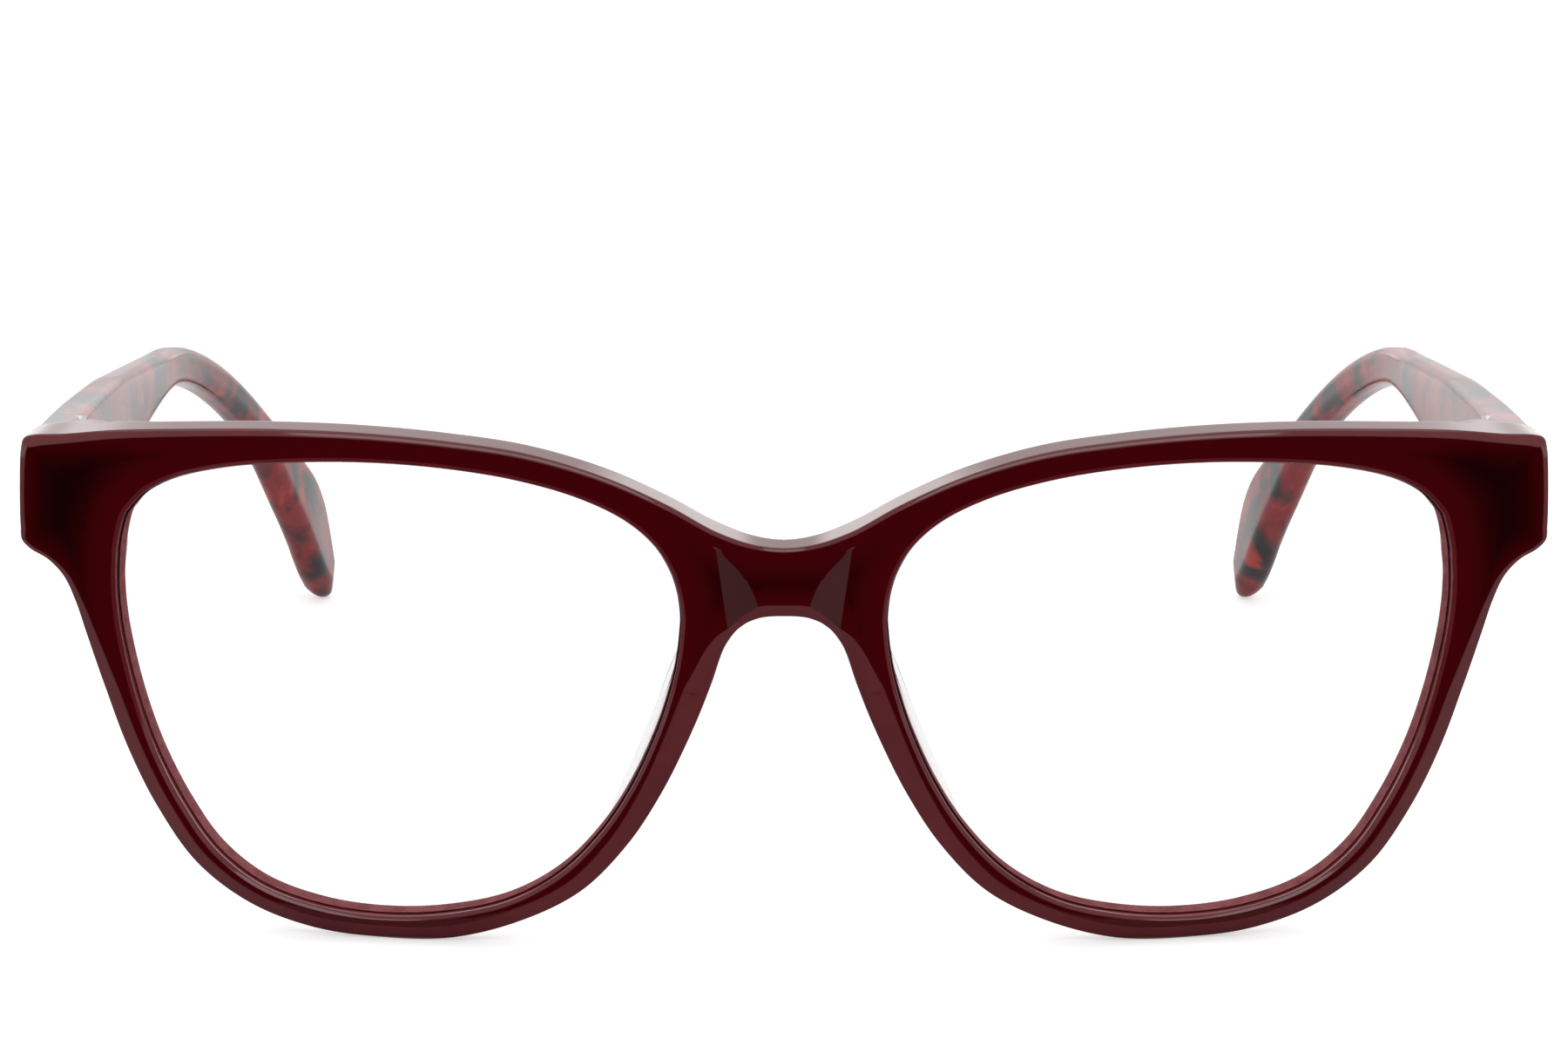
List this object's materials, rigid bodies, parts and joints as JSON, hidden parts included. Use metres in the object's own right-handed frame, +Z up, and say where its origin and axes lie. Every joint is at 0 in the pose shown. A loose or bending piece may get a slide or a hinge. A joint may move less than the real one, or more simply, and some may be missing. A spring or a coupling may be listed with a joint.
{
  "type": "butterfly eyeglasses",
  "caption": "Acetate butterfly eyeglasses with bevelled rims, clear lenses, glued clear nose pads and folding temples on five-barrel hinges.",
  "frame": {"origin": "middle of the bounding box's bottom face, on the surface that the open glasses rest on", "axes": "+X to the wearer's left, +Y backwards along the temples, +Z up"},
  "size_m": [0.1404, 0.1492, 0.0495],
  "materials": {
    "front_acetate": "polished",
    "temple_acetate": "polished",
    "lens": "clear",
    "nose_pad_acetate": "clear",
    "hinge_metal": "polished",
    "screw_metal": "turned",
    "core_metal": "satin"
  },
  "bodies": {
    "front": {"front": "front_acetate", "lens_left": "lens", "lens_right": "lens", "nose_pad_left": "nose_pad_acetate", "nose_pad_right": "nose_pad_acetate", "front_hinge_left": "hinge_metal", "front_hinge_right": "hinge_metal", "hinge_screws": "screw_metal"},
    "temple_left": {"temple_left": "temple_acetate", "temple_hinge_left": "hinge_metal", "core_wire_left": "core_metal"},
    "temple_right": {"temple_right": "temple_acetate", "temple_hinge_right": "hinge_metal", "core_wire_right": "core_metal"}
  },
  "joints": [
    {"name": "temple_left_fold", "type": "hinge", "parent": "front", "child": "temple_left", "pos_m": [0.06406, -0.05959, 0.04286], "axis": [0, -0.0929, 0.9957], "range_deg": [0, 86]},
    {"name": "temple_right_fold", "type": "hinge", "parent": "front", "child": "temple_right", "pos_m": [-0.06406, -0.05959, 0.04286], "axis": [0, 0.0929, -0.9957], "range_deg": [0, 77]}
  ]
}
